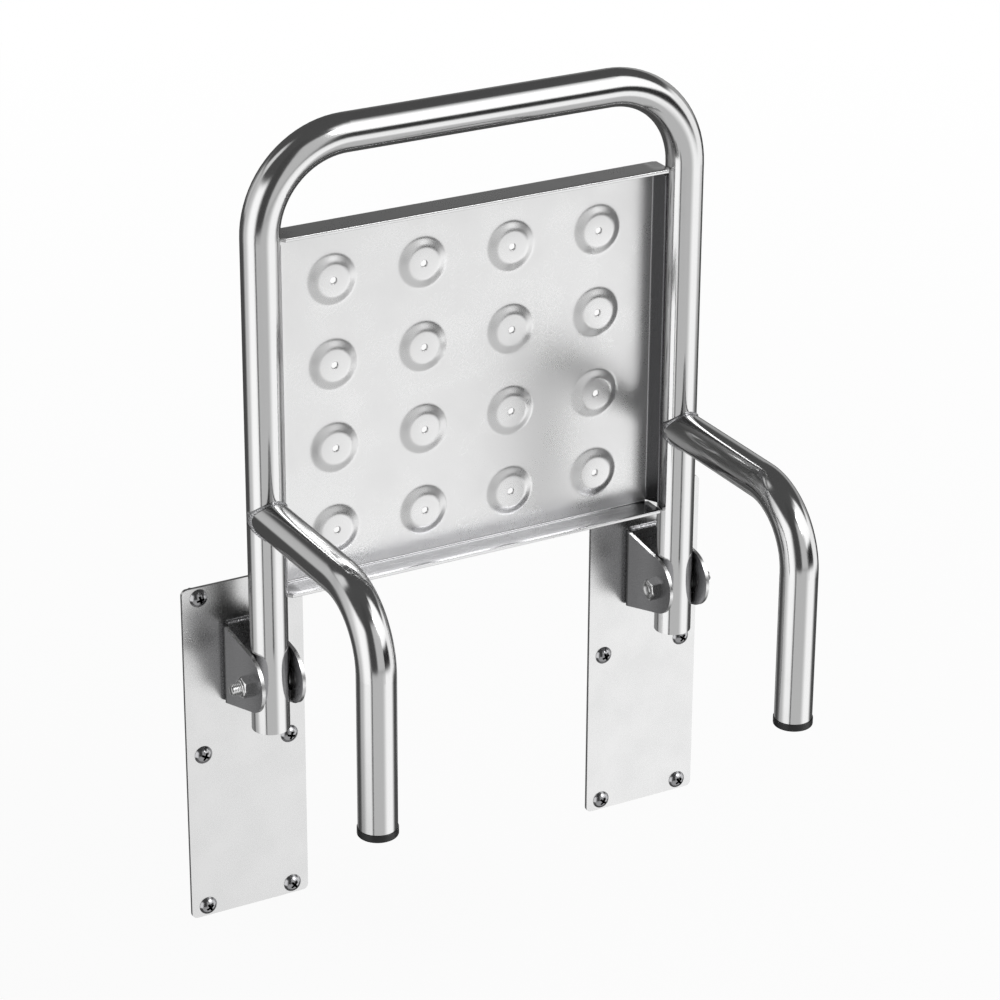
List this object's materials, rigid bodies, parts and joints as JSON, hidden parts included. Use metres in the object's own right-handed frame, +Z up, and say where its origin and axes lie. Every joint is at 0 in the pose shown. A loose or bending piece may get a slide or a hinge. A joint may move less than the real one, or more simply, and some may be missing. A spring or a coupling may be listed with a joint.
{
  "type": "fold down wall seat",
  "caption": "Fold down wall seat in satin stainless steel: a dimpled tray seat in a bent tube frame with hooked legs, hinged between wall brackets and shown folded up.",
  "frame": {"origin": "middle of the whole screw pattern, on the plane of the wall", "axes": "+X to the right of a viewer who faces the wall, +Y into the wall, +Z up; the seat is folded up"},
  "size_m": [0.5, 0.2787, 0.7145],
  "materials": {
    "tube_steel": "stainless tube polished to a satin grain that runs round the tube",
    "sheet_steel": "satin stainless sheet with a fine grain",
    "fastener_steel": "plain bright stainless bolts, nuts, sleeves and screws",
    "weld_metal": "cleaned stainless weld beads with low ripples",
    "black_plastic": "black moulded plastic, slightly glossy on the foot caps",
    "black_nylon": "dull black nylon washers"
  },
  "bodies": {
    "wall_base": {"left_wall_plate": "sheet_steel", "right_wall_plate": "sheet_steel", "left_hinge_bracket": "sheet_steel", "right_hinge_bracket": "sheet_steel", "left_bracket_weld": "weld_metal", "right_bracket_weld": "weld_metal", "left_pivot_bolt": "fastener_steel", "right_pivot_bolt": "fastener_steel", "left_pivot_nut": "fastener_steel", "right_pivot_nut": "fastener_steel", "ear_washers": "black_nylon", "wall_screws": "fastener_steel"},
    "seat": {"seat_frame": "tube_steel", "seat_pan": "sheet_steel", "pan_welds": "weld_metal", "left_pivot_sleeve": "fastener_steel", "right_pivot_sleeve": "fastener_steel", "left_support_leg": "tube_steel", "right_support_leg": "tube_steel", "left_leg_weld": "weld_metal", "right_leg_weld": "weld_metal", "left_foot_cap": "black_plastic", "right_foot_cap": "black_plastic", "tube_plugs": "black_plastic"}
  },
  "joints": [
    {"name": "seat_fold", "type": "hinge", "parent": "wall_base", "child": "seat", "pos_m": [0, -0.052, 0.0815], "axis": [1, 0, 0], "range_deg": [0, 90]}
  ]
}
